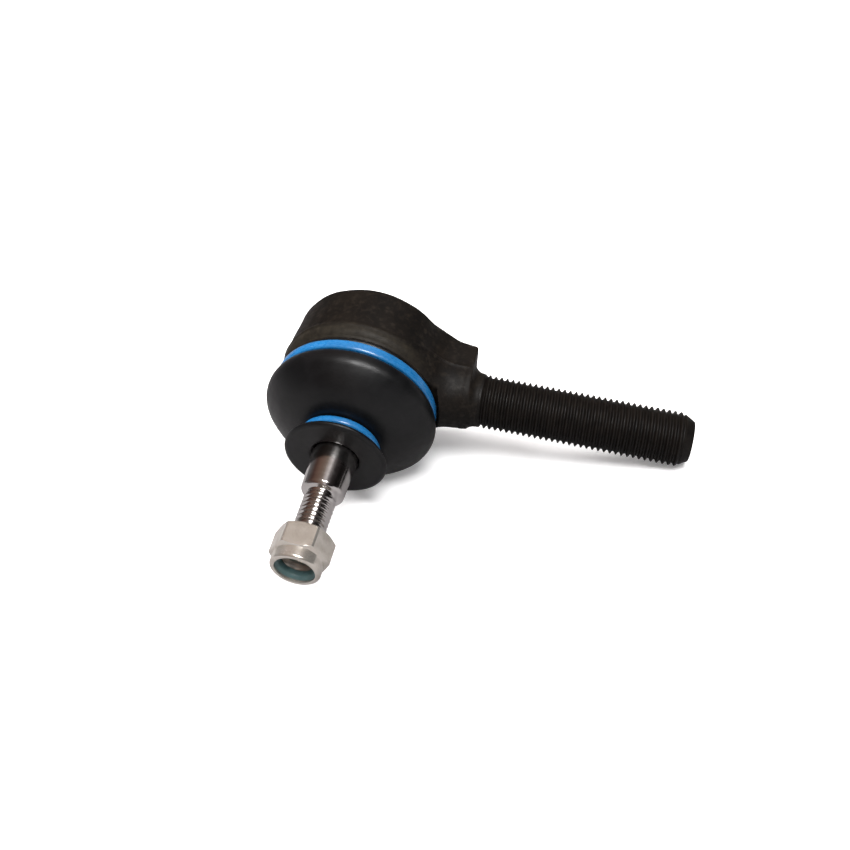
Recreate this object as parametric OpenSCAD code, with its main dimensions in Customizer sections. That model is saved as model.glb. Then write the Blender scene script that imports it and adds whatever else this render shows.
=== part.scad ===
// Tie rod end: a forged housing with a threaded shank, a ball stud in two seats,
// a dust boot held by two rings, and a lock nut on the stud.
// The origin is the centre of the ball. +X runs along the shank to its threaded end,
// -Y runs along the stud to the nut, +Z is up. All sizes are in millimetres.

/* [Shank] */
// Thread diameter of the shank
shank_d = 14; // [12:0.5:18]
// Thread pitch of the shank
shank_pitch = 1.5; // [1.25:0.25:2]
// Distance from the ball centre to the shank's end face
shank_end = 86; // [75:1:110]
// Distance from the ball centre to the first thread groove
shank_thread_start = 31.7; // [31.5:0.1:36]
// Length of the 30 degree chamfer on the shank's end
shank_chamfer = 3.2; // [1.5:0.1:4]

/* [Boss] */
// Distance from the ball centre to the boss's end face
boss_end = 28.3; // [27.5:0.1:28.5]
// Half width of the boss at the parting line
boss_half_w = 9.2; // [8.5:0.1:10]
// How far the boss reaches towards the cover, beside the drum
boss_back = 12.4; // [12:0.1:12.5]
// How far the boss reaches towards the cover, at its end face
boss_back_end = 10.9; // [10:0.1:12]
// How far the boss reaches towards the stud, beside the drum
boss_front = 8.6; // [8:0.1:9]
// How far the boss reaches towards the stud, at its end face
boss_front_end = 7.3; // [7.1:0.1:8]

/* [Drum] */
// Largest radius of the drum, at the parting line
drum_r = 21.3; // [21:0.1:22]
// Height of the parting line above the ball centre, towards the cover
parting = 1.5; // [1:0.1:2]
// Distance from the ball centre to the drum's rolled end
drum_back = 13.5; // [12.6:0.1:14]
// Distance from the ball centre to the drum's stud side
drum_front = 5.6; // [5:0.1:5.8]
// Draft of the forged sides
draft = 4; // [2:0.5:6]

/* [Ball stud] */
// Diameter of the ball
ball_d = 22; // [21:0.5:22.5]
// Diameter of the stud's neck behind the taper
neck_d = 10.4; // [9:0.1:10.6]
// Taper radius at its small end
taper_small_r = 5.3; // [5:0.1:5.5]
// Distance from the ball centre to the taper's large end
taper_start = 21; // [19:0.5:22]
// Distance from the ball centre to the taper's small end
taper_end = 39.3; // [36:0.1:40]
// Length of taper over which the diameter changes by 1
taper_ratio = 10; // [8:1:12]
// Thread diameter of the stud
stud_d = 8; // [8:1:9]
// Thread pitch of the stud
stud_pitch = 1.25; // [1:0.25:1.25]
// Distance from the ball centre to the stud's tip
stud_end = 57.4; // [56:0.1:58]

/* [Lock nut] */
// Width of the nut across its flats
nut_af = 13; // [12.8:0.1:13.2]
// Height of the whole nut
nut_h = 9.5; // [9:0.1:10]
// Height of the nut's hexagon
nut_hex_h = 6.5; // [6:0.1:7]
// Distance from the ball centre to the nut's seating face
nut_start = 51.8; // [48:0.1:52]
// Outer radius of the collar round the nylon ring
nut_collar_r = 6.15; // [6:0.05:6.3]
// Angle of one of the nut's corners round the stud
nut_corner = 1; // [0:1:59]

/* [Dust boot] */
// Largest radius of the boot
boot_r = 22.3; // [21.8:0.1:23]
// Thickness of the boot's wall
boot_wall = 1.4; // [1:0.1:2]
// Radius of the lip that seals on the stud
lip_r = 13.1; // [12:0.1:13.5]
// Distance from the ball centre to the face of the lip
lip_face = 28.1; // [27.8:0.1:29]
// Radius of the large ring, outside
ring_large_r = 21.4; // [21:0.1:21.8]
// Radius of the small ring, outside
ring_small_r = 10.5; // [10:0.1:11]

/* [Hidden] */
$fn = 96;

ball_r = ball_d / 2;
shank_r = shank_d / 2;
neck_r = neck_d / 2;
stud_r = stud_d / 2;
run_fit = 0.05;              // radial clearance between parts that turn on each other
ball_fit = 0.04;             // clearance between the ball and its seats

// depth of a 60 degree thread with the standard flats, as a share of its pitch
thread_depth = 0.54127;

beside_drum = 20.6;          // where the boss leaves the drum
fillet_r = 3;                // fillet between boss and shank

// socket in the housing
seat_r = 14.6;               // outer radius of both seats
socket_r = seat_r + run_fit;
shoulder_h = 6.9;            // the stud side seat rests on this shoulder
mouth_in_r = 9.6;            // opening for the stud, inside
mouth_out_r = 11.2;          // opening for the stud, outside
cover_r = 16.2;              // outer radius of the cover plate
cover_seat = 10.2;           // the cover plate rests on this step
cover_t = 1.5;               // thickness of the cover plate
rolled_r = 14.2;             // inner radius of the rolled edge
seal_wire_r = 0.55;          // radius of the cover seal's section

// neck of the housing that carries the boot's large end
boot_seat_r = 18.3;
boot_seat_end = 9.5;
boot_stop_r = 18.9;
housing_front = 10.6;

// places along the boot
collar_r = 19.9;             // boot collar under the large ring
ring_large_start = 7.3;
ring_large_w = 2.8;
ring_small_start = 22.4;
ring_small_w = 2.3;
groove_r = 8.65;             // boot groove under the small ring
lip_bore_r = 6.28;

function polar(r, a) = [r * cos(a), r * sin(a)];
// points of an arc round centre c, from angle a0 to a1, in n steps
function arc(c, r, a0, a1, n) = [for (i = [0 : n]) c + polar(r, a0 + (a1 - a0) * i / n)];
// radius of the stud's taper at height h
function taper_r(h) = taper_small_r + (taper_end - h) / (2 * taper_ratio);
// outline of a row of thread grooves: n pitches from height z, crests at radius r
function thread_rows(r, pitch, z, n) = [for (i = [0 : n - 1]) each [
    [r, z + pitch * i],
    [r - thread_depth * pitch, z + pitch * (i + 5 / 16)],
    [r - thread_depth * pitch, z + pitch * (i + 9 / 16)],
    [r, z + pitch * (i + 14 / 16)]]];

// heights then run from the ball centre along the stud, towards the nut
module along_stud() rotate([90, 0, 0]) children();
// heights then run from the ball centre along the shank
module along_shank() rotate([0, 90, 0]) children();
// revolves an outline whose points are [radius, height]
module turned(points) rotate_extrude($fn = $fn) polygon(points);
module ring_band(r_in, r_out, h, w, edge) translate([0, 0, h]) turned([
    [r_in, 0], [r_out - edge, 0], [r_out, edge], [r_out, w - edge], [r_out - edge, w], [r_in, w]]);

// drum round the stud axis, drafted both ways from the parting line
module drum_outer() turned(concat(
    [[0, housing_front], [boot_stop_r - 0.5, housing_front], [boot_stop_r, housing_front - 0.4],
     [boot_stop_r, boot_seat_end], [boot_seat_r, boot_seat_end - 0.3], [boot_seat_r, drum_front],
     [drum_r - (drum_front + parting) * tan(draft) - 0.6, drum_front],
     [drum_r - (drum_front + parting) * tan(draft), drum_front - 0.6],
     [drum_r, -parting]],
    arc([drum_r - (drum_back - parting) * tan(draft) * 0.7 - 3, -drum_back + 3], 3, 0, -90, 8),
    [[0, -drum_back]]));

// outline of the boss across the shank: straight drafted sides behind the parting
// line, a rounded front before it
module boss_section() {
    back_w = boss_half_w - (boss_back - parting) * tan(draft);
    polygon(concat(
        [[parting, boss_half_w], [boss_back, back_w], [boss_back, -back_w], [parting, -boss_half_w]],
        [for (i = [1 : 11]) let (a = -90 - 15 * i)
            [parting + (boss_front + parting) * cos(a), boss_half_w * sin(a)]]));
}
// boss from the drum to a distance x, narrowing towards the shank
module boss(x) intersection() {
    rotate([90, 0, 90]) linear_extrude(height = x) boss_section();
    linear_extrude(height = 40, center = true) polygon([
        [0, -boss_front], [beside_drum, -boss_front], [boss_end, -boss_front_end],
        [boss_end + 10, -boss_front_end], [boss_end + 10, boss_back_end],
        [boss_end, boss_back_end], [beside_drum, boss_back], [0, boss_back]]);
}

// fillet between the boss's end face and the shank, no wider than the boss
module shank_fillet() intersection() {
    along_shank() turned(concat(
        [[0, boss_end - 1], [shank_r + fillet_r, boss_end - 1]],
        arc([shank_r + fillet_r, boss_end + fillet_r], fillet_r, 270, 180, 8),
        [[0, boss_end + fillet_r]]));
    boss(boss_end + fillet_r);
}

// shank with its thread grooves and end chamfer
module shank() {
    rows = floor((shank_end - shank_chamfer - shank_thread_start) / shank_pitch);
    chamfer_r = shank_r - shank_chamfer * tan(30);
    along_shank() turned(concat(
        [[0, 12], [shank_r, 12]],
        thread_rows(shank_r, shank_pitch, shank_thread_start, rows),
        [[shank_r, shank_end - shank_chamfer], [chamfer_r, shank_end - 0.3],
         [chamfer_r - 0.3, shank_end], [0, shank_end]]));
}

// room for the boot's collar, its ring and its bulge
module boot_room() along_stud()
    translate([0, 0, drum_front]) cylinder(r = ring_large_r + 0.5, h = 6);

module socket() along_stud() union() {
    translate([0, 0, -cover_seat - 0.5]) cylinder(r = socket_r, h = cover_seat + 0.5 + shoulder_h);
    translate([0, 0, -cover_seat - cover_t]) cylinder(r = cover_r, h = cover_t);
    translate([0, 0, -drum_back - 1]) cylinder(r = rolled_r, h = 4);
    translate([0, 0, shoulder_h]) turned([[0, -1], [mouth_in_r, -1], [mouth_in_r, 0],
        [mouth_out_r, housing_front - shoulder_h], [mouth_out_r, housing_front], [0, housing_front]]);
    // seat for the cover seal, cut into the step under the cover plate
    translate([0, 0, -cover_seat]) cylinder(r = socket_r + 2 * seal_wire_r, h = 2 * seal_wire_r);
}

module housing() color([0.17, 0.16, 0.15]) difference() {
    union() {
        along_stud() drum_outer();
        difference() {
            union() {
                boss(boss_end);
                shank_fillet();
                shank();
            }
            boot_room();
        }
    }
    socket();
}

// pressed disc with a domed centre that clears the ball, held by the drum's rolled edge
module cover_plate() color([0.45, 0.45, 0.47]) along_stud()
    translate([0, 0, -cover_seat - cover_t]) turned([
        [0, -0.6], [6, -0.6], [7.4, 0], [cover_r, 0], [cover_r, cover_t], [6.8, cover_t],
        [5.6, 0.5], [0, 0.5]]);

module cover_seal() color([0.1, 0.1, 0.1]) along_stud()
    translate([0, 0, -cover_seat + seal_wire_r]) rotate_extrude()
        translate([socket_r + seal_wire_r, 0]) circle(r = seal_wire_r, $fn = 24);

// coned disc spring between the cover plate and the cap side seat
module preload_spring() color([0.5, 0.45, 0.35]) along_stud()
    translate([0, 0, -cover_seat]) turned([
        [7.2, 0.02], [8.0, 0.02], [13.8, 0.58], [13.8, 1.12], [13.0, 1.12], [7.2, 0.56]]);

module cap_side_seat() color([0.9, 0.88, 0.8]) along_stud() difference() {
    translate([0, 0, -cover_seat + 1.15]) cylinder(r = seat_r, h = cover_seat - 1.15 - 0.8);
    sphere(r = ball_r + ball_fit);
    translate([0, 0, -cover_seat]) cylinder(r = 3, h = 6);
}

module stud_side_seat() color([0.9, 0.88, 0.8]) along_stud() difference() {
    translate([0, 0, 0.8]) cylinder(r = seat_r, h = shoulder_h - run_fit - 0.8);
    sphere(r = ball_r + ball_fit);
    translate([0, 0, 6.2]) cylinder(r = mouth_in_r, h = 4);
}

// ball, neck, taper, shoulder and thread in one piece
module ball_stud() color([0.78, 0.78, 0.8]) along_stud() union() {
    rows = floor((stud_end - 1 - taper_end - 1.4) / stud_pitch);
    difference() {
        sphere(r = ball_r);
        translate([0, 0, -ball_r - 1]) cylinder(r = ball_r, h = 2);
    }
    turned(concat(
        [[0, 0], [neck_r, 0], [neck_r, 15], [taper_r(taper_start), taper_start],
         [taper_r(taper_end - 0.5), taper_end - 0.5], [taper_small_r - 0.5, taper_end],
         [stud_r, taper_end + 0.5]],
        thread_rows(stud_r, stud_pitch, taper_end + 1.4, rows),
        [[stud_r, stud_end - 1], [stud_r - 0.8, stud_end], [0, stud_end]]));
}

// revolved rubber boot: collar, bulge, ring groove and sealing lip
module dust_boot() color([0.09, 0.09, 0.1]) along_stud() turned(concat(
    // outside, from the collar to the lip
    [[boot_seat_r, drum_front + 0.1], [20.3, drum_front + 0.1], [20.5, 6.4], [collar_r, 7.2],
     [collar_r, 10.2], [20.7, 10.4]],
    arc([boot_r - 3.6, 13.2], 3.6, -35, 40, 6),
    [[19.9, 17.3], [17.2, 19.5], [13.6, 21.3], [11.2, 22], [groove_r + 0.3, ring_small_start - 0.1],
     [groove_r, ring_small_start + 0.2], [groove_r, ring_small_start + ring_small_w],
     [groove_r + 1.5, ring_small_start + ring_small_w + 0.2], [lip_r - 0.7, lip_face - 1.7],
     [lip_r, lip_face - 1], [lip_r, lip_face - 0.5], [lip_r - 0.6, lip_face],
     [lip_bore_r + 0.3, lip_face - 0.2], [lip_bore_r - 0.3, lip_face - 0.8], [lip_bore_r, 21.2]],
    // inside, back to the collar
    [[8.4, 20.4], [12.6, 19.9], [16.3, 18.3], [18.8, 16.3]],
    arc([boot_r - 3.6, 13.2], 3.6 - boot_wall, 30, -30, 5),
    [[19.2, 11.3], [boot_stop_r, 10.7], [boot_stop_r, boot_seat_end],
     [boot_seat_r, boot_seat_end - 0.3]]));

module boot_ring_large() color([0.1, 0.42, 0.75]) along_stud()
    ring_band(collar_r, ring_large_r, ring_large_start, ring_large_w, 0.5);

module boot_ring_small() color([0.1, 0.42, 0.75]) along_stud()
    ring_band(groove_r + 0.1, ring_small_r, ring_small_start + 0.1, ring_small_w - 0.2, 0.5);

module nut_insert() color([0.3, 0.42, 0.43]) along_stud()
    translate([0, 0, nut_start + nut_hex_h + 0.2])
        turned([[stud_r + 0.08, 0], [5.15, 0], [5.15, 2], [stud_r + 0.9, 2], [stud_r + 0.08, 1.5]]);

module lock_nut() color([0.8, 0.79, 0.75]) along_stud() translate([0, 0, nut_start]) difference() {
    corner_r = nut_af / 2 / cos(30);
    union() {
        intersection() {
            rotate([0, 0, nut_corner]) cylinder(r = corner_r, h = nut_hex_h, $fn = 6);
            turned([[0, 0], [nut_af / 2 - 0.2, 0], [corner_r + 0.1, 0.75],
                    [corner_r + 0.1, nut_hex_h - 0.75], [nut_af / 2 - 0.2, nut_hex_h], [0, nut_hex_h]]);
        }
        // collar with a rolled rim
        turned(concat([[0, nut_hex_h - 1], [nut_collar_r, nut_hex_h - 1], [nut_collar_r, nut_h - 0.8]],
            arc([nut_collar_r - 0.8, nut_h - 0.8], 0.8, 10, 90, 6), [[0, nut_h]]));
    }
    translate([0, 0, -1]) cylinder(r = stud_r + 0.06, h = nut_h + 2);
    translate([0, 0, nut_hex_h + 0.1]) cylinder(r = 5.2, h = nut_h);
    translate([0, 0, -1]) cylinder(r1 = stud_r + 1.66, r2 = stud_r + 0.06, h = 1.6);
}

housing();
cover_plate();
cover_seal();
preload_spring();
cap_side_seat();
stud_side_seat();
ball_stud();
dust_boot();
boot_ring_large();
boot_ring_small();
nut_insert();
lock_nut();
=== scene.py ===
import math

import bmesh
import bpy
import numpy as np
from mathutils import Matrix, Vector


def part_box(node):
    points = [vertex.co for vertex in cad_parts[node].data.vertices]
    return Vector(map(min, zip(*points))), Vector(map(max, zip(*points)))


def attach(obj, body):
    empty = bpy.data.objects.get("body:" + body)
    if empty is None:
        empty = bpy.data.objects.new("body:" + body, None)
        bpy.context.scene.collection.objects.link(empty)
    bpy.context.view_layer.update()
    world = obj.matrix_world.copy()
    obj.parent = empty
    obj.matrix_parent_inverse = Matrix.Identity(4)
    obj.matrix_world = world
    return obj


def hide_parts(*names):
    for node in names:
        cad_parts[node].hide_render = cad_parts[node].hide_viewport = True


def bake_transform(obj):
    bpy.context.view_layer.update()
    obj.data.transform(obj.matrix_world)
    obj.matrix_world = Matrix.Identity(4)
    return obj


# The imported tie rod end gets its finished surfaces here. Shapes are in millimetres, as pairs
# of radius and distance along an axis; h is the distance from the ball centre along the stud,
# so y = -h. Lamps, camera and floor are in metres.
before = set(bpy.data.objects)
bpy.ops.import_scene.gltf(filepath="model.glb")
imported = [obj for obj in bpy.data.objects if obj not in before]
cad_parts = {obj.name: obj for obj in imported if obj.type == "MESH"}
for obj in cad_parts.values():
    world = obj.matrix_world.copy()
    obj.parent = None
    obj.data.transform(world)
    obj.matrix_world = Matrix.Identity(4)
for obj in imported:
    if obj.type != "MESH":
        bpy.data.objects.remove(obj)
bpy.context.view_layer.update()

MM = 0.001


def mm_box(node):
    lo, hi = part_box(node)
    return np.array(lo) / MM, np.array(hi) / MM


HOUSING_LO, HOUSING_HI = mm_box("housing")
SHANK_END = HOUSING_HI[0]
DRUM_BACK = HOUSING_HI[1]
DRUM_R = -HOUSING_LO[0]
NECK_END = -HOUSING_LO[1]
PLATE_HI = mm_box("cover_plate")[1]
STUD_LO, STUD_HI = mm_box("ball_stud")
BALL_R = STUD_HI[0]
STUD_END = -STUD_LO[1]
BOOT_LO, BOOT_HI = mm_box("dust_boot")
BOOT_R = BOOT_HI[0]
LIP_FACE = -BOOT_LO[1]
LARGE_LO, LARGE_HI = mm_box("boot_ring_large")
SMALL_LO, SMALL_HI = mm_box("boot_ring_small")
NUT_LO, NUT_HI = mm_box("lock_nut")
NUT_START, NUT_H = -NUT_HI[1], NUT_HI[1] - NUT_LO[1]
INSERT_HI = mm_box("nut_insert")[1]

SHANK_R, SHANK_PITCH, THREAD_START, SHANK_CHAMFER = 7.0, 1.5, 31.7, 3.2
SHANK_CHAMFER_SLOPE = math.tan(math.radians(30))
STUD_R, STUD_PITCH, STUD_CHAMFER, STUD_CHAMFER_SLOPE = 4.0, 1.25, 0.85, 0.95
TAPER_START, TAPER_END, TAPER_SMALL_R, TAPER_RATIO = 21.0, 39.3, 5.3, 10
BOSS_START, BOSS_END = 20.6, 28.3
NUT_AF, NUT_HEX_H, NUT_COLLAR_R = 13.0, 6.5, 6.15
NUT_CORNER = 1                # degrees round the stud from +x, as on the CAD nut
NUT_BORE_R = 4.12
BULGE_R, BULGE_H = 3.6, 13.2  # section radius of the boot's bulge, and its distance along the stud
THREAD_DEPTH = 0.54127        # depth of a 60 degree thread, as a share of its pitch
THREAD_SIDES = 96


# ---------------------------------------------------------------- mesh helpers

def new_object(name, verts, faces, sharp):
    """A smooth object from millimetres, with edges above sharp degrees kept crisp."""
    mesh = bpy.data.meshes.new(name)
    mesh.from_pydata((np.asarray(verts, float) * MM).tolist(), [], [list(f) for f in faces])
    bm = bmesh.new()
    bm.from_mesh(mesh)
    bmesh.ops.remove_doubles(bm, verts=bm.verts, dist=1.5e-6)
    bmesh.ops.dissolve_degenerate(bm, edges=bm.edges, dist=1e-6)
    bmesh.ops.recalc_face_normals(bm, faces=bm.faces)
    bm.to_mesh(mesh)
    bm.free()
    mesh.polygons.foreach_set("use_smooth", [True] * len(mesh.polygons))
    mesh.set_sharp_from_angle(angle=math.radians(sharp))
    obj = bpy.data.objects.new(name, mesh)
    bpy.context.scene.collection.objects.link(obj)
    return obj


def softened(points, sizes, steps=4):
    """A closed outline with each corner replaced by a small curve that starts sizes[i] away from it."""
    points = [np.array(p, float) for p in points]
    out, n = [], len(points)
    for i, p in enumerate(points):
        size = sizes[i] if hasattr(sizes, "__len__") else sizes
        if size <= 0:
            out.append(tuple(p))
            continue
        before, after = points[i - 1] - p, points[(i + 1) % n] - p
        a = p + before * min(size / np.linalg.norm(before), 0.48)
        b = p + after * min(size / np.linalg.norm(after), 0.48)
        for k in range(steps + 1):
            t = k / steps
            out.append(tuple((1 - t) ** 2 * a + 2 * t * (1 - t) * p + t * t * b))
    return out


def arc(cx, cy, r, a0, a1, n):
    return [(cx + r * math.cos(math.radians(a0 + (a1 - a0) * i / n)),
             cy + r * math.sin(math.radians(a0 + (a1 - a0) * i / n))) for i in range(n + 1)]


def place(axis, u, r, a):
    """Points at distance u along the shank or the stud, radius r and angle a round it."""
    if axis == "shank":
        return np.stack([u, r * np.cos(a), r * np.sin(a)], -1)
    return np.stack([r * np.cos(a), -u, r * np.sin(a)], -1)


def turned(outline, axis="stud", n=128, closed=True):
    """Revolves an outline of (radius, distance along the axis)."""
    pts = np.array(outline, float)
    a = np.arange(n) * 2 * np.pi / n
    r, a2 = np.meshgrid(pts[:, 0], a)
    u = np.broadcast_to(pts[:, 1], r.shape)
    verts = place(axis, u, r, a2).reshape(-1, 3)
    m = len(pts)
    faces = []
    for i in range(n):
        j = (i + 1) % n
        for k in range(m if closed else m - 1):
            l = (k + 1) % m
            faces.append((i * m + k, i * m + l, j * m + l, j * m + k))
    return verts, faces


def joined(*parts):
    """Several (points, faces) pairs as one."""
    verts, faces, base = [], [], 0
    for v, f in parts:
        verts.append(np.asarray(v, float))
        faces += [tuple(i + base for i in face) for face in f]
        base += len(v)
    return np.concatenate(verts), faces


def thread(axis, r, pitch, u0, u1, radius_limit, n):
    """A helical 60 degree thread between u0 and u1 whose rows follow the helix.
    radius_limit(u) cuts the crests."""
    depth = THREAD_DEPTH * pitch
    # phase within one pitch, and how much of the groove's depth is there
    shape = [(0.0, 0.03), (0.05, 0.11), (0.16, 0.44), (0.265, 0.80), (0.335, 0.91), (0.4375, 0.94),
             (0.54, 0.91), (0.61, 0.80), (0.715, 0.44), (0.825, 0.11), (0.875, 0.03), (0.9375, 0.0)]
    m = len(shape)
    turns = int(math.ceil((u1 - u0) / pitch)) + 2
    k = np.arange(m * turns)
    phase = np.array([s[0] for s in shape])[k % m]
    share = np.array([s[1] for s in shape])[k % m]
    a = np.arange(n + 1) / n
    u = u0 + pitch * (k[None, :] // m - 1 + phase[None, :] + a[:, None])
    u = np.clip(u, u0, u1)
    fade = np.clip((u - u0 - 0.25) / (0.75 * pitch), 0, 1)
    rr = np.minimum(r - depth * share[None, :] * fade * fade * (3 - 2 * fade), radius_limit(u))
    verts = place(axis, u, rr, np.broadcast_to(a[:, None] * 2 * np.pi, u.shape)).reshape(-1, 3)
    rows = len(k)
    faces = [(i * rows + j, i * rows + j + 1, (i + 1) * rows + j + 1, (i + 1) * rows + j)
             for i in range(n) for j in range(rows - 1)
             if not (u[i, j] == u[i, j + 1] == u[i + 1, j] == u[i + 1, j + 1])]
    return verts, faces


# ---------------------------------------------------------------- forged body from a distance field

def sd_outline(px, py, pts):
    """Signed distance to a closed outline, negative inside."""
    best = np.full(px.shape, 1e9)
    sign = np.ones(px.shape)
    for i in range(len(pts)):
        ax, ay = pts[i]
        bx, by = pts[i - 1]
        ex, ey = bx - ax, by - ay
        wx, wy = px - ax, py - ay
        t = np.clip((wx * ex + wy * ey) / (ex * ex + ey * ey + 1e-12), 0, 1)
        best = np.minimum(best, (wx - ex * t) ** 2 + (wy - ey * t) ** 2)
        c1, c2, c3 = py >= ay, py < by, ex * wy > ey * wx
        sign = np.where((c1 & c2 & c3) | (~c1 & ~c2 & ~c3), -sign, sign)
    return sign * np.sqrt(best)


def smin(a, b, k):
    """Union of two distances with a fillet of about k mm; smax is their cut."""
    h = np.clip(k - np.abs(a - b), 0, None) / k
    return np.minimum(a, b) - h * h * k * 0.25


def smax(a, b, k):
    return -smin(-a, -b, k)


def smooth_step(x, a, b):
    t = np.clip((x - a) / (b - a), 0, 1)
    return t * t * (3 - 2 * t)


DRUM_FRONT = 5.6
DRUM_OUTLINE = ([(0, -DRUM_BACK)]
                + arc(DRUM_R - 0.75 - 3, -DRUM_BACK + 3, 3, -90, 0, 9)
                + [(DRUM_R - 0.02, 0.9), (DRUM_R - 0.02, 2.2)]
                + arc(DRUM_R - 3.1, 2.5, 3.05, 4, 50, 6)
                + [(DRUM_R - 1.35, DRUM_FRONT), (DRUM_R - 2.4, DRUM_FRONT + 0.05), (0, DRUM_FRONT + 0.05)])
NECK_OUTLINE = [(0, 4), (18.3, 4), (18.3, 9.2), (18.9, 9.5), (18.9, NECK_END - 0.4),
                (18.5, NECK_END), (0, NECK_END)]
SOCKET_OUTLINE = [(0, -20), (14.2, -20), (14.2, -12.3), (14.35, -11.75), (16.2, -11.75), (16.2, -9.1),
                  (14.65, -9.1), (14.65, 6.9), (9.6, 6.9), (11.2, NECK_END), (11.2, 16), (0, 16)]
FILLET_R = 3.0
FILLET_OUTLINE = ([(0, BOSS_END - 1), (SHANK_R + FILLET_R, BOSS_END - 1)]
                  + arc(SHANK_R + FILLET_R, BOSS_END + FILLET_R, FILLET_R, 270, 180, 10)
                  + [(0, BOSS_END + FILLET_R)])
BOSS_PART, BOSS_HALF_W, BOSS_BACK, BOSS_FRONT = 2.3, 9.2, 12.4, 8.6
FORGING_DRAFT = math.tan(math.radians(4))
ROUNDNESS = 2.3  # power of the rounded section: 2 is an ellipse


def boss_section(x, y, z):
    """Distance to the boss's long sides: drafted behind the parting line, rounded before it."""
    along = np.clip((x - BOSS_START) / (BOSS_END - BOSS_START), 0, 1.4)
    back = BOSS_BACK - 1.5 * along
    front = BOSS_FRONT - 1.3 * np.clip(along, 0, 1)
    flank = np.abs(z) - (BOSS_HALF_W - (y - BOSS_PART) * FORGING_DRAFT)
    behind = smax(flank, y - back, 1.1)
    depth = np.clip(BOSS_PART - y, 0, None) / (front + BOSS_PART)
    q = np.sqrt((np.abs(z) / BOSS_HALF_W) ** ROUNDNESS + depth ** ROUNDNESS + 1e-9)
    before = (q ** (2 / ROUNDNESS) - 1) * 8.2
    return np.where(y > BOSS_PART, behind, before)


def housing_distance(p):
    """Distance to the housing's surface, negative inside, without the cut thread."""
    x, y, z = p[..., 0], p[..., 1], p[..., 2]
    h, rho, rx = -y, np.hypot(x, z), np.hypot(y, z)
    drum = sd_outline(rho, h, DRUM_OUTLINE)
    section = boss_section(x, y, z)
    boss = smax(smax(section, x - BOSS_END, 0.7), 6 - x, 0.5)
    fillet = np.maximum(sd_outline(rx, x, FILLET_OUTLINE), section)
    core = np.maximum(rx - SHANK_R + 0.03, np.maximum(x - BOSS_END - FILLET_R, 10 - x))
    arm = smin(smin(boss, fillet, 0.35), core, 0.25)
    body = smin(drum, arm, 4.5 * smooth_step(rho, 17, 20) + 0.3)
    # flash line left by the forging dies, running level round the drum and up onto the boss
    line = -1.7 + 4.0 * smooth_step(x, 9, 20)
    flash_height, flash_width = 0.2, 0.42
    ridge = flash_height * np.exp(-((y - line) / flash_width) ** 2)
    body = body - ridge * smooth_step(rho, 10, 14) * (1 - smooth_step(x, 27, 28.2))
    # hammered unevenness
    wave = (np.sin(x * 0.83 + 1.3 * np.sin(z * 0.41)) * np.sin(z * 0.71 + 1.7)
            + np.sin(y * 0.9 + x * 0.37 + z * 0.29))
    body = body + 0.035 * wave * (1 - smooth_step(x, 24, 28))
    # level back face, and room for the boot's collar and the large ring
    body = smax(body, y - DRUM_BACK + 0.02, 0.4)
    room = np.maximum(rho - LARGE_HI[0] - 0.5, DRUM_FRONT - h)
    body = smax(body, -room, 0.5)
    body = np.minimum(body, sd_outline(rho, h, NECK_OUTLINE))
    return smax(body, -sd_outline(rho, h, SOCKET_OUTLINE), 0.25)


def surface_net(distance, lo, hi, step):
    """A closed quad mesh of the zero surface, with its points moved onto that surface."""
    axes = [np.arange(a, b + step, step) for a, b in zip(lo, hi)]
    grid = np.stack(np.meshgrid(*axes, indexing="ij"), -1)
    f = np.concatenate([distance(grid[i:i + 16]) for i in range(0, len(axes[0]), 16)])
    cells = tuple(n - 1 for n in f.shape)
    total, count = np.zeros(cells + (3,)), np.zeros(cells)
    crossing = []
    for ax in range(3):
        first, second = [slice(None)] * 3, [slice(None)] * 3
        first[ax], second[ax] = slice(None, -1), slice(1, None)
        fa, fb = f[tuple(first)], f[tuple(second)]
        at = np.argwhere((fa < 0) != (fb < 0))
        va, vb = fa[tuple(at.T)], fb[tuple(at.T)]
        pos = at.astype(float)
        pos[:, ax] += va / (va - vb)
        u, v = (ax + 1) % 3, (ax + 2) % 3
        for du in (0, -1):
            for dv in (0, -1):
                c = at.copy()
                c[:, u] += du
                c[:, v] += dv
                flat = np.ravel_multi_index(tuple(c.T), cells)
                for k in range(3):
                    total[..., k].reshape(-1)[:] += np.bincount(flat, pos[:, k], total[..., k].size)
                count.reshape(-1)[:] += np.bincount(flat, minlength=count.size)
        crossing.append((ax, at, va < 0))
    index = -np.ones(cells, int)
    used = count > 0
    index[used] = np.arange(used.sum())
    pts = total[used] / count[used][:, None] * step + np.array([a[0] for a in axes])
    probe = 0.02
    for _ in range(4):
        value = distance(pts)
        slope = np.stack([(distance(pts + e) - distance(pts - e)) / (2 * probe) for e in np.eye(3) * probe], -1)
        move = slope * (value / np.maximum((slope ** 2).sum(-1), 0.2))[:, None]
        length = np.linalg.norm(move, axis=-1, keepdims=True)
        pts = pts - move * np.minimum(1, 0.4 * step / np.maximum(length, 1e-9))
    faces = []
    for ax, at, inside_first in crossing:
        u, v = (ax + 1) % 3, (ax + 2) % 3
        quad = []
        for du, dv in ((-1, -1), (0, -1), (0, 0), (-1, 0)):
            c = at.copy()
            c[:, u] += du
            c[:, v] += dv
            quad.append(index[tuple(c.T)])
        quad = np.stack(quad, -1)
        quad[~inside_first] = quad[~inside_first][:, ::-1]
        faces.append(quad)
    return pts, np.concatenate(faces).tolist()


# ---------------------------------------------------------------- pieces

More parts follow.
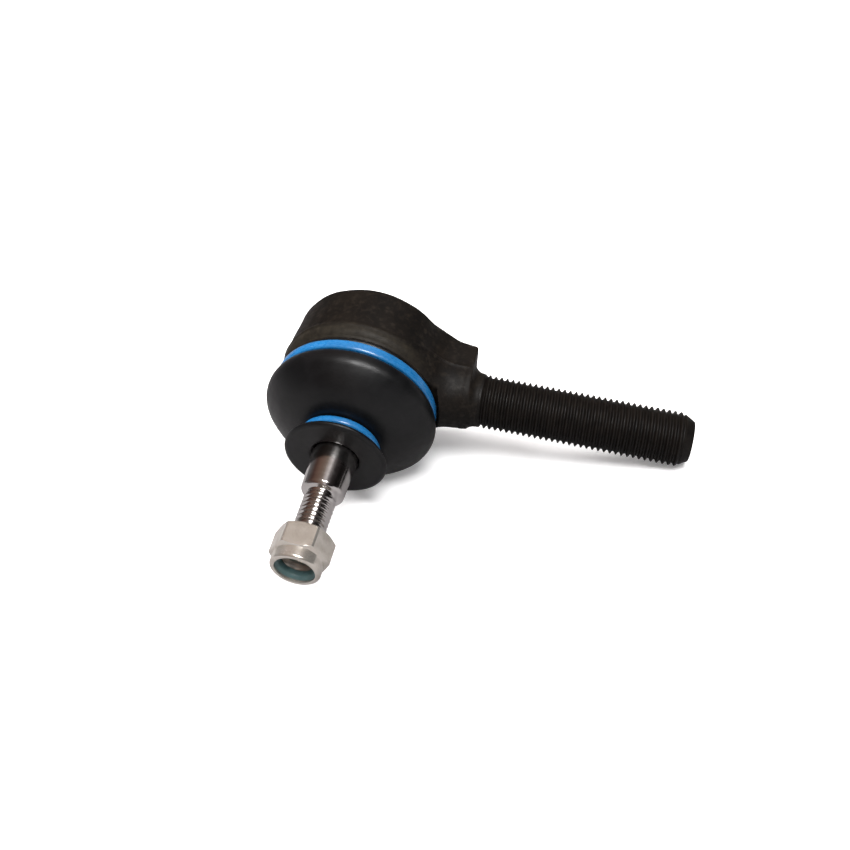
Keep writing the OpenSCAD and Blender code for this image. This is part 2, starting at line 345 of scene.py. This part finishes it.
def make_housing():
    """The forging up to the fillet, and the threaded shank with a plain start and a rounded end."""
    body = surface_net(housing_distance, (-DRUM_R - 1, -NECK_END - 1, -DRUM_R - 1),
                       (BOSS_END + FILLET_R + 1, DRUM_BACK + 1, DRUM_R + 1), 0.36)
    chamfer = SHANK_END - SHANK_CHAMFER
    end_r = SHANK_R - SHANK_CHAMFER * SHANK_CHAMFER_SLOPE
    screw = thread("shank", SHANK_R, SHANK_PITCH, THREAD_START - 0.5, SHANK_END - 0.35,
                   lambda u: SHANK_R - (u - chamfer) * SHANK_CHAMFER_SLOPE, THREAD_SIDES)
    tail = turned([(end_r + 0.2, SHANK_END - 0.35), (end_r + 0.06, SHANK_END - 0.1),
                   (end_r - 0.12, SHANK_END - 0.01), (end_r - 0.5, SHANK_END), (2.2, SHANK_END),
                   (0, SHANK_END)], "shank", THREAD_SIDES, closed=False)
    head = turned([(0, THREAD_START - 1), (SHANK_R - 0.3, THREAD_START - 1), (SHANK_R, THREAD_START - 0.5)],
                  "shank", THREAD_SIDES, closed=False)
    return new_object("housing_forging", *joined(body, screw, tail, head), sharp=38)


def make_cover():
    """Pressed disc with a raised centre."""
    back, r = PLATE_HI[1], PLATE_HI[0]
    outline = softened([(0, -back), (5.6, -back), (7.2, -back + 0.6), (12.6, -back + 0.6),
                        (13.2, -back + 0.75), (r, -back + 0.75), (r, -back + 2.1), (6.8, -back + 2.1),
                        (5.6, -back + 1.1), (0, -back + 1.1)],
                       [0, 0.7, 0.9, 0.3, 0.3, 0.2, 0.2, 0.4, 0.4, 0], 5)
    return new_object("cover_disc", *turned(outline, n=128), sharp=40)


def make_boot():
    """One rubber wall: collar in the housing's groove, bulge, small ring's groove and lip, then back inside."""
    bulge_x = BOOT_R - BULGE_R
    outer = ([(18.32, DRUM_FRONT + 0.12), (20.25, DRUM_FRONT + 0.12), (20.45, 6.4), (19.9, 7.2), (19.9, 10.2),
              (20.7, 10.45)]
             + arc(bulge_x, BULGE_H, BULGE_R, -32, 42, 12)
             + [(19.95, 17.2), (17.3, 19.4), (13.8, 21.2), (11.3, 21.95), (8.95, 22.3), (8.65, 22.55),
                (8.65, 24.75), (10.15, 24.85), (12.4, LIP_FACE - 1.75), (13.1, LIP_FACE - 1.0),
                (13.1, LIP_FACE - 0.5), (12.4, LIP_FACE), (6.5, LIP_FACE - 0.2), (6.0, LIP_FACE - 0.8),
                (6.28, 21.3)])
    inner = ([(8.4, 20.35), (12.6, 19.75), (16.2, 18.15), (18.7, 16.2)]
             + arc(bulge_x, BULGE_H, 2.2, 32, -30, 8)
             + [(19.2, 11.3), (18.9, 10.75), (18.92, 9.5), (18.32, 9.2)])
    sizes = ([0.2, 0.3, 0.3, 0.3, 0.15, 0.25] + [0] * 13
             + [1.6, 1.7, 1.5, 0.9, 0.5, 0.2, 0.25, 0.7, 0.5, 0.5, 0.35, 0.5, 0.5, 0.4, 0.9]
             + [1, 1.5, 1.5, 1] + [0] * 9 + [0.2, 0.2, 0.1, 0.1])
    return new_object("boot_rubber", *turned(softened(outer + inner, sizes, 5), n=180), sharp=55)


def make_ring(name, lo, hi, inner, corner):
    """A band with a rounded outside, of the CAD ring's own width and radius."""
    r, a, b = hi[0], -hi[1], -lo[1]
    outline = softened([(inner, a), (r, a), (r, b), (inner, b)], [0.12, corner, corner, 0.12], 8)
    return new_object(name, *turned(outline, n=160), sharp=50)


def make_stud():
    """Ball with a flat, neck, taper, shoulder and undercut, then the thread and its chamfered tip."""
    big_r = TAPER_SMALL_R + (TAPER_END - TAPER_START) / (2 * TAPER_RATIO)
    neck_r, ball_steps = 5.35, 40
    flat = STUD_HI[1]
    flat_r = math.sqrt(BALL_R ** 2 - flat ** 2)
    a0 = -math.degrees(math.acos(flat_r / BALL_R))
    a1 = math.degrees(math.acos(neck_r / BALL_R))
    ball = arc(0, 0, BALL_R, a0, a1, ball_steps - 1)
    start = TAPER_END + 1.75
    plain = softened([(0, -flat), *ball, (5.2, 10.4), (5.2, 15), (big_r, TAPER_START),
                      (TAPER_SMALL_R + 0.03, TAPER_END - 0.55), (TAPER_SMALL_R - 0.5, TAPER_END - 0.02),
                      (4.55, TAPER_END + 0.12), (3.72, TAPER_END + 0.55), (3.62, TAPER_END + 1.2), (3.98, start)],
                     [0] + [0] * ball_steps + [0.4, 0.8, 1.0, 0.28, 0.2, 0.25, 0.25, 0.2, 0.1], 4)
    plain = [p for p in plain if p[1] < start - 0.01] + [(3.98, start)]
    chamfer, end = STUD_END - STUD_CHAMFER, STUD_END - 0.05
    screw = thread("stud", STUD_R, STUD_PITCH, start, end,
                   lambda u: STUD_R - np.clip(u - chamfer, 0, None) * STUD_CHAMFER_SLOPE, THREAD_SIDES)
    tip_r = STUD_R - (end - chamfer) * STUD_CHAMFER_SLOPE
    tip = turned([(tip_r, end), (tip_r - 0.1, STUD_END), (0, STUD_END)], n=THREAD_SIDES, closed=False)
    return new_object("stud_polished", *joined(turned(plain, n=THREAD_SIDES, closed=False), screw, tip), sharp=32)


def make_nut():
    """Hexagon with both faces chamfered, and a collar rolled in over the nylon ring."""
    corner = NUT_AF / 2 / math.cos(math.radians(30))
    face_r = NUT_AF / 2 - 0.18  # where the chamfer starts on each face
    edge = 0.06                 # height of the small round before the chamfer
    n = 240
    a = np.arange(n) * 2 * np.pi / n
    off = (np.degrees(a) - NUT_CORNER) % 60 - 30
    flat_r = np.minimum(NUT_AF / 2 / np.cos(np.radians(off)), corner - 0.14)
    cut = edge + (flat_r - face_r) * math.tan(math.radians(28))

    def ring(radius, height):
        return np.stack([np.broadcast_to(radius, n), np.broadcast_to(height, n)])

    rows = [ring(5.7, 0.0), ring(face_r - 0.25, 0.0), ring(face_r, edge)]
    rows += [ring(face_r + (flat_r - face_r) * t, edge + (cut - edge) * t) for t in (0.5, 0.94)]
    side = NUT_HEX_H - 2 * cut - 0.1
    rows += [ring(flat_r, cut + 0.05 + side * t) for t in (0, 0.25, 0.5, 0.75)]
    rows += [ring(flat_r, NUT_HEX_H - cut - 0.05)]
    rows += [ring(face_r + (flat_r - face_r) * t, NUT_HEX_H - edge - (cut - edge) * t) for t in (0.94, 0.5)]
    rows += [ring(face_r, NUT_HEX_H - edge)]
    cr, roll = NUT_COLLAR_R, 0.82
    collar = ([(face_r - 0.12, NUT_HEX_H + 0.02), (cr + 0.04, NUT_HEX_H + 0.08), (cr, NUT_HEX_H + 0.3),
               (cr, NUT_HEX_H + 1.0), (cr - 0.02, NUT_H - 1.05)]
              + arc(cr - roll, NUT_H - roll, roll, 8, 118, 10)
              + [(5.2, NUT_H - 0.42), (5.16, NUT_H - 0.72), (5.2, NUT_HEX_H + 0.1), (NUT_BORE_R, NUT_HEX_H + 0.1),
                 (NUT_BORE_R, 5.0), (NUT_BORE_R, 0.62), (4.9, 0.12), (5.35, 0.0)])
    rows += [ring(r, u) for r, u in collar]
    m = len(rows)
    verts = np.stack([place("stud", NUT_START + row[1], row[0], a) for row in rows], 1).reshape(-1, 3)
    faces = [(i * m + k, i * m + (k + 1) % m, (i + 1) % n * m + (k + 1) % m, (i + 1) % n * m + k)
             for i in range(n) for k in range(m)]
    return new_object("nut_zinc", verts, faces, sharp=24)


def make_insert():
    """The nylon ring, 2 mm wide, with a lead-in inside."""
    u0, r = -INSERT_HI[1], INSERT_HI[0]
    outline = softened([(4.08, u0), (r, u0), (r, u0 + 2), (4.9, u0 + 2), (4.12, u0 + 1.5)],
                       [0.05, 0.1, 0.3, 0.35, 0.3], 5)
    return new_object("nylon_ring", *turned(outline, n=96), sharp=50)


# ---------------------------------------------------------------- materials

def feed(nt, node, **inputs):
    """Links a socket, or sets its value. iN is input N, and _ in a name stands for a space."""
    for name, v in inputs.items():
        numbered = name[0] == "i" and name[1:].isdigit()
        socket = node.inputs[int(name[1:]) if numbered else name.replace("_", " ")]
        if isinstance(v, bpy.types.NodeSocket):
            nt.links.new(v, socket)
        else:
            socket.default_value = v
    return node


def add(nt, kind, settings=None, **inputs):
    node = nt.nodes.new(kind)
    for k, v in (settings or {}).items():
        setattr(node, k, v)
    return feed(nt, node, **inputs)


def ramp(nt, fac, stops):
    """Colour ramp over (position, grey or colour) pairs."""
    node = nt.nodes.new("ShaderNodeValToRGB")
    nt.links.new(fac, node.inputs[0])
    els = node.color_ramp.elements
    while len(els) < len(stops):
        els.new(0.5)
    for el, (pos, col) in zip(els, stops):
        el.position = pos
        el.color = (*col, 1) if hasattr(col, "__len__") else (col, col, col, 1)
    return node.outputs[0]


def object_coordinates(nt):
    return add(nt, "ShaderNodeTexCoord").outputs["Object"]


def noise(nt, scale, stretch=(1, 1, 1), detail=4, rough=0.55):
    """Noise of the given size in mm, stretched along an axis where the factor is below 1."""
    mapped = add(nt, "ShaderNodeMapping", Vector=object_coordinates(nt),
                 Scale=tuple(1000 / scale * s for s in stretch))
    return add(nt, "ShaderNodeTexNoise", Vector=mapped.outputs[0], Scale=1.0, Detail=detail,
               Roughness=rough).outputs[0]


def mix(nt, fac, a, b):
    """Colour a where fac is 0 and b where it is 1."""
    a, b = ((*c, 1) if isinstance(c, tuple) else c for c in (a, b))
    return add(nt, "ShaderNodeMix", {"data_type": "RGBA"}, i0=fac, i6=a, i7=b).outputs[2]


def tones(nt, fac, start, stop, a, b, most=1):
    """Colour a below start, going to b by the share most at stop."""
    return mix(nt, ramp(nt, fac, [(start, 0), (stop, most)]), a, b)


def edges(nt):
    return add(nt, "ShaderNodeNewGeometry").outputs["Pointiness"]


def camera_ray(nt):
    return add(nt, "ShaderNodeLightPath").outputs["Is Camera Ray"]


def math_node(nt, op, a, b):
    return add(nt, "ShaderNodeMath", {"operation": op}, i0=a, i1=b).outputs[0]


def bump(nt, height, depth, **under):
    """Bump whose full height is depth mm, on top of another bump if Normal gives one."""
    return add(nt, "ShaderNodeBump", Height=height, Distance=depth * MM, Strength=1.0, **under).outputs[0]


def shader(name):
    m = bpy.data.materials.new(name)
    m.use_nodes = True
    return m, m.node_tree, m.node_tree.nodes["Principled BSDF"]


def black_oxide():
    m, nt, b = shader("black_oxide_steel")
    big, mid, fine = noise(nt, 9, detail=3), noise(nt, 1.6, detail=5, rough=0.65), noise(nt, 0.35, detail=3)
    colour = tones(nt, big, 0.35, 0.7, (0.0028, 0.0023, 0.0020), (0.0070, 0.0052, 0.0038))
    colour = tones(nt, mid, 0.5, 0.75, colour, (0.0165, 0.0128, 0.0096), most=0.8)
    # painted highlight: a lighter band round the drum beside the flash line, on the stud's side, standing for
    # light on the drum's shoulder there, broken up by the mottling
    spot = add(nt, "ShaderNodeSeparateXYZ", Vector=object_coordinates(nt))
    height = add(nt, "ShaderNodeMapRange", Value=spot.outputs[1], i1=-0.010, i2=0.006).outputs[0]
    reach = add(nt, "ShaderNodeMapRange", Value=spot.outputs[0], i1=0.019, i2=0.013).outputs[0]
    painted_lit_band = math_node(nt, "MULTIPLY", ramp(nt, height, [(0.25, 0), (0.33, 1), (0.46, 0.8), (0.56, 0)]),
                     ramp(nt, mid, [(0.3, 0.35), (0.65, 1)]))
    # mixes in the painted highlight's lighter colour along the drum's shoulder
    colour = mix(nt, math_node(nt, "MULTIPLY", painted_lit_band, reach), colour, (0.021, 0.0175, 0.0125))
    # worn edges keep the mottling's tone, so that single crowded points of the mesh don't stand out
    worn = math_node(nt, "MULTIPLY", ramp(nt, edges(nt), [(0.515, 0), (0.56, 1)]),
                     ramp(nt, mid, [(0.3, 0.25), (0.7, 1)]))
    colour = mix(nt, worn, colour, (0.0145, 0.0115, 0.0086))
    feed(nt, b, Base_Color=colour, Roughness=ramp(nt, mid, [(0.3, 0.62), (0.75, 0.46)]),
         Specular_IOR_Level=0.16, Normal=bump(nt, fine, 0.018, Normal=bump(nt, mid, 0.05)))
    return m


def oxide_thread():
    m, nt, b = shader("black_oxide_thread")
    along, mid = noise(nt, 0.9, stretch=(1, 0.25, 0.25), detail=4), noise(nt, 2.6, detail=4)
    colour = tones(nt, mid, 0.35, 0.7, (0.0030, 0.0024, 0.0020), (0.0066, 0.0051, 0.0040))
    worn = math_node(nt, "MULTIPLY", ramp(nt, edges(nt), [(0.51, 0), (0.58, 0.7)]),
                     ramp(nt, along, [(0.35, 0.1), (0.7, 1)]))
    colour = mix(nt, worn, colour, (0.017, 0.0145, 0.012))
    feed(nt, b, Base_Color=colour, Roughness=ramp(nt, along, [(0.3, 0.58), (0.75, 0.4)]),
         Specular_IOR_Level=0.17, Normal=bump(nt, along, 0.012))
    return m


def pressed_steel():
    m, nt, b = shader("cover_steel")
    big, fine = noise(nt, 5, detail=4), noise(nt, 0.4, detail=4)
    colour = tones(nt, big, 0.35, 0.7, (0.020, 0.019, 0.0175), (0.042, 0.038, 0.032))
    colour = tones(nt, edges(nt), 0.51, 0.56, colour, (0.10, 0.092, 0.08), most=0.8)
    feed(nt, b, Base_Color=colour, Roughness=ramp(nt, big, [(0.3, 0.5), (0.7, 0.34)]), Metallic=0.35,
         Normal=bump(nt, fine, 0.012))
    return m


def rubber(name, base, dusty):
    m, nt, b = shader(name)
    dust, grain = noise(nt, 7, detail=5, rough=0.6), noise(nt, 0.28, detail=2)
    flow = noise(nt, 2.2, stretch=(1, 0.3, 1), detail=3)
    feed(nt, b, Base_Color=tones(nt, dust, 0.45, 0.75, base, dusty, most=0.75),
         Roughness=ramp(nt, flow, [(0.3, 0.44), (0.72, 0.33)]), Specular_IOR_Level=0.34,
         Normal=bump(nt, grain, 0.012, Normal=bump(nt, flow, 0.03)))
    return m


def blue_plastic():
    m, nt, b = shader("blue_plastic")
    tone = noise(nt, 4, stretch=(1, 2.5, 1), detail=3)
    scuff = noise(nt, 0.5, stretch=(0.4, 1.6, 0.4), detail=4)
    colour = tones(nt, tone, 0.35, 0.7, (0.009, 0.105, 0.27), (0.012, 0.132, 0.33))
    colour = tones(nt, scuff, 0.6, 0.85, colour, (0.035, 0.19, 0.42), most=0.25)
    feed(nt, b, Base_Color=colour, Roughness=ramp(nt, scuff, [(0.4, 0.24), (0.75, 0.4)]), Coat_Weight=0.25,
         Coat_Roughness=0.12, Normal=bump(nt, scuff, 0.003))
    return m


def polished_steel():
    m, nt, b = shader("polished_steel")
    rings = noise(nt, 0.16, stretch=(0.02, 1, 0.02), detail=3)
    tone, haze = noise(nt, 3, stretch=(0.3, 1, 0.3), detail=4), noise(nt, 1.1, detail=5)
    colour = tones(nt, tone, 0.3, 0.75, (0.54, 0.515, 0.50), (0.70, 0.675, 0.66))
    colour = tones(nt, haze, 0.6, 0.8, colour, (0.36, 0.31, 0.275), most=0.35)
    feed(nt, b, Base_Color=colour, Metallic=1.0, Roughness=ramp(nt, haze, [(0.35, 0.10), (0.75, 0.22)]),
         Normal=bump(nt, rings, 0.008))
    return m


def zinc_plate():
    m, nt, b = shader("zinc_plate")
    tone, fine = noise(nt, 2.4, detail=4), noise(nt, 0.3, detail=4)
    drawn = noise(nt, 0.25, stretch=(0.25, 1, 0.25), detail=3)
    colour = tones(nt, tone, 0.3, 0.72, (0.56, 0.51, 0.45), (0.74, 0.70, 0.64))
    colour = tones(nt, edges(nt), 0.53, 0.6, colour, (0.82, 0.80, 0.76), most=0.8)
    feed(nt, b, Base_Color=colour, Metallic=0.84, Roughness=ramp(nt, tone, [(0.3, 0.27), (0.75, 0.18)]),
         Normal=bump(nt, drawn, 0.006, Normal=bump(nt, fine, 0.01)))
    return m


def nylon():
    m, nt, b = shader("nut_nylon")
    tone, fine = noise(nt, 1.5, detail=4), noise(nt, 0.2, stretch=(0.3, 1, 0.3), detail=3)
    feed(nt, b, Base_Color=tones(nt, tone, 0.3, 0.7, (0.045, 0.092, 0.094), (0.075, 0.140, 0.142)),
         Roughness=ramp(nt, fine, [(0.3, 0.32), (0.7, 0.5)]), Normal=bump(nt, fine, 0.02))
    return m


def acetal():
    m, nt, b = shader("seat_plastic")
    tone, flow = noise(nt, 6, detail=3), noise(nt, 0.8, stretch=(1, 3, 1), detail=3)
    feed(nt, b, Base_Color=tones(nt, tone, 0.3, 0.7, (0.74, 0.70, 0.60), (0.84, 0.81, 0.73)),
         Roughness=ramp(nt, flow, [(0.3, 0.42), (0.7, 0.3)]), Normal=bump(nt, flow, 0.01))
    return m


def spring_steel():
    m, nt, b = shader("spring_steel")
    tone, oil = noise(nt, 3, detail=4), noise(nt, 1.2, stretch=(1, 0.4, 1), detail=4)
    feed(nt, b, Base_Color=tones(nt, tone, 0.3, 0.7, (0.30, 0.27, 0.23), (0.48, 0.43, 0.37)), Metallic=1.0,
         Roughness=ramp(nt, oil, [(0.3, 0.24), (0.7, 0.42)]), Normal=bump(nt, oil, 0.01))
    return m


def paint(obj, *materials):
    obj.data.materials.clear()
    for m in materials:
        obj.data.materials.append(m)


# ---------------------------------------------------------------- stage

def make_camera():
    """The photograph's view: 50.6 degrees above the part and 10.6 degrees round from the stud's side."""
    data = bpy.data.cameras.new("Camera")
    data.sensor_width = 36
    data.lens = 45.23  # mm, fitted to the photograph's perspective
    data.clip_start = 0.01
    cam = bpy.data.objects.new("Camera", data)
    bpy.context.scene.collection.objects.link(cam)
    right = Vector((0.97388, 0.22438, 0.03471)).normalized()
    back = Vector((0.1164, -0.62465, 0.77218)).normalized()
    up = back.cross(right)
    rot = Matrix((right, up, back)).transposed().to_4x4()
    cam.matrix_world = Matrix.Translation(Vector((50.92, -181.78, 210.23)) * MM) @ rot
    bpy.context.scene.camera = cam


# The table's rise along x and y, and its height at the ball. It touches the boot's bulge and the
# shank's end, and leaves the nut room at every pose.
TABLE_SLOPE = (0.2311, -0.25)
TABLE_Z = -26.4 * MM
TABLE_HALF_SIZE, TABLE_STEPS = 0.8, 24
# the plane whose axes give the lamps' directions
LAMP_SLOPE = (0.2471, -0.3562)
LAMP_WHITE = (1.0, 0.99, 0.98)
LAMP_TARGET = Vector((0.03, -0.015, 0))


def slope_axes(rise_x, rise_y):
    """A sloping plane's normal, and two directions along it."""
    n = Vector((-rise_x, -rise_y, 1.0)).normalized()
    side = Vector((1, 0, rise_x)).normalized()
    return n, side, n.cross(side)


def make_floor():
    n, side, other = slope_axes(*TABLE_SLOPE)
    centre = n * (TABLE_Z * n.z) + side * 0.03
    steps = range(TABLE_STEPS + 1)
    row = TABLE_STEPS + 1
    across = [TABLE_HALF_SIZE * (2 * i / TABLE_STEPS - 1) for i in steps]
    verts = [tuple(centre + side * a + other * b) for a in across for b in across]
    faces = [(i * row + j, (i + 1) * row + j, (i + 1) * row + j + 1, i * row + j + 1)
             for i in range(TABLE_STEPS) for j in range(TABLE_STEPS)]
    mesh = bpy.data.meshes.new("floor")
    mesh.from_pydata(verts, [], faces)
    obj = bpy.data.objects.new("floor", mesh)
    bpy.context.scene.collection.objects.link(obj)
    m, nt, b = shader("floor_white")
    grain = noise(nt, 30, detail=3)
    # straight views see white paper; what the part mirrors of it is dimmer
    direct = camera_ray(nt)
    white = mix(nt, grain, (0.90, 0.895, 0.905), (0.95, 0.95, 0.955))
    grey = mix(nt, grain, (0.22, 0.215, 0.22), (0.25, 0.245, 0.25))
    feed(nt, b, Base_Color=mix(nt, direct, grey, white), Emission_Color=(1, 1, 1, 1),
         Emission_Strength=math_node(nt, "MULTIPLY", direct, 0.16), Roughness=0.7, Specular_IOR_Level=0.2)
    # seen from underneath the sheet is clear, so low side views aren't blocked
    behind = add(nt, "ShaderNodeNewGeometry").outputs["Backfacing"]
    clear = add(nt, "ShaderNodeBsdfTransparent").outputs[0]
    both = add(nt, "ShaderNodeMixShader", i0=behind, i1=b.outputs[0], i2=clear)
    nt.links.new(both.outputs[0], nt.nodes["Material Output"].inputs["Surface"])
    obj.data.materials.append(m)


def area_light(name, direction, distance, size, power, colour=(1, 1, 1), size_y=None, mirrored=False):
    """A lamp facing LAMP_TARGET. Only a mirrored one shows in the part's reflections."""
    data = bpy.data.lights.new(name, "AREA")
    data.energy = power
    data.color = colour
    data.shape = "RECTANGLE" if size_y else "DISK"
    data.size = size
    if size_y:
        data.size_y = size_y
    obj = bpy.data.objects.new(name, data)
    bpy.context.scene.collection.objects.link(obj)
    d = Vector(direction).normalized()
    facing = d.to_track_quat("Z", "Y").to_matrix().to_4x4()
    obj.matrix_world = Matrix.Translation(LAMP_TARGET + d * distance) @ facing
    obj.visible_glossy = mirrored


def make_world():
    """A room whose colour goes round the stud's axis: pale low on the left, brown, a light line
    overhead, then dark."""
    world = bpy.data.worlds.new("World")
    bpy.context.scene.world = world
    world.use_nodes = True
    nt = world.node_tree
    d = add(nt, "ShaderNodeSeparateXYZ", Vector=add(nt, "ShaderNodeTexCoord").outputs["Generated"])
    angle = math_node(nt, "ARCTAN2", d.outputs[2], d.outputs[0])
    # -180 to 180 degrees from +x becomes 0 to 1
    turn = add(nt, "ShaderNodeMath", {"operation": "MULTIPLY_ADD"}, i0=angle, i1=0.5 / math.pi, i2=0.5).outputs[0]
    left = (0.12, 0.11, 0.11)
    by_angle = [(-180, left), (-150, (0.25, 0.25, 0.26)), (-90, (0.30, 0.30, 0.31)),
                (-30, (0.10, 0.10, 0.105)), (-5, (0.02, 0.018, 0.018)), (30, (0.006, 0.005, 0.005)),
                (57, (0.03, 0.025, 0.025)), (72, (0.20, 0.18, 0.18)), (82, (0.80, 0.76, 0.76)),
                (90, (0.62, 0.57, 0.55)), (104, (0.27, 0.21, 0.175)), (118, (0.21, 0.145, 0.115)),
                (135, (0.18, 0.11, 0.085)), (158, (0.085, 0.048, 0.04)), (172, (0.11, 0.09, 0.085)),
                (180, left)]
    room = ramp(nt, turn, [(0.5 + deg / 360, c) for deg, c in by_angle])
    # the room is only for the part to mirror: seen straight, the backdrop is plain white
    feed(nt, nt.nodes["Background"], Color=mix(nt, camera_ray(nt), room, (1.0, 1.0, 1.0)), Strength=1.0)


def make_lights():
    """Soft light mostly from the left, with a wide one over the table and weak fill. One soft lamp
    nearly overhead is mirrored by the rubber and the nut."""
    up, side, other = slope_axes(*LAMP_SLOPE)
    area_light("key", up * 0.72 - side * 0.68 + other * 0.12, distance=1.3, size=0.6, power=20.0,
               colour=LAMP_WHITE)
    area_light("overhead", up, distance=1.3, size=1.5, power=9.0, colour=LAMP_WHITE)
    for name, toward in (("right", side), ("back", other), ("front", -other)):
        area_light(name, toward * 0.8 + up * 0.6, distance=1.5, size=2.0, size_y=1.1, power=5.5)
    area_light("above", (0.08, -0.20, 0.97), distance=1.0, size=0.42, power=11.0, mirrored=True)


# ---------------------------------------------------------------- put together

scene = bpy.context.scene
scene.view_settings.view_transform = "Standard"
make_camera()
make_world()
make_lights()
make_floor()

oxide, screw_black = black_oxide(), oxide_thread()
boot_black = rubber("boot_rubber", (0.0028, 0.0029, 0.0033), (0.0066, 0.0065, 0.0072))
seal_black = rubber("seal_rubber", (0.006, 0.006, 0.006), (0.012, 0.012, 0.012))
blue = blue_plastic()

housing = make_housing()
paint(housing, oxide, screw_black)
shank_x = (BOSS_END + 2.9) * MM
for poly in housing.data.polygons:
    poly.material_index = int(poly.center.x > shank_x)
pieces = [
    (housing, "housing", "housing", "black_oxide_steel"),
    (make_cover(), "housing", "cover_plate", "cover_steel"),
    (make_ring("ring_large", LARGE_LO, LARGE_HI, 19.93, 1.25), "housing", "boot_ring_large", "blue_plastic"),
    (make_ring("ring_small", SMALL_LO, SMALL_HI, 8.78, 0.95), "boot_neck", "boot_ring_small", "blue_plastic"),
    (make_stud(), "stud", "ball_stud", "polished_steel"),
    (make_nut(), "nut", "lock_nut", "zinc_plate"),
    (make_insert(), "nut_carrier", "nut_insert", "nut_nylon"),
]
finish = {"cover_plate": pressed_steel(), "boot_ring_large": blue, "boot_ring_small": blue,
          "ball_stud": polished_steel(), "lock_nut": zinc_plate(), "nut_insert": nylon()}
for obj, body, node, slot in pieces:
    if node in finish:
        paint(obj, finish[node])
    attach(obj, body)
    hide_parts(node)

boot = make_boot()
paint(boot, boot_black)
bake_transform(boot)
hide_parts("dust_boot")

seat_white = acetal()
for node, m in (("cover_seal", seal_black), ("preload_spring", spring_steel()),
                ("cap_side_seat", seat_white), ("stud_side_seat", seat_white)):
    paint(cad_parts[node], m)
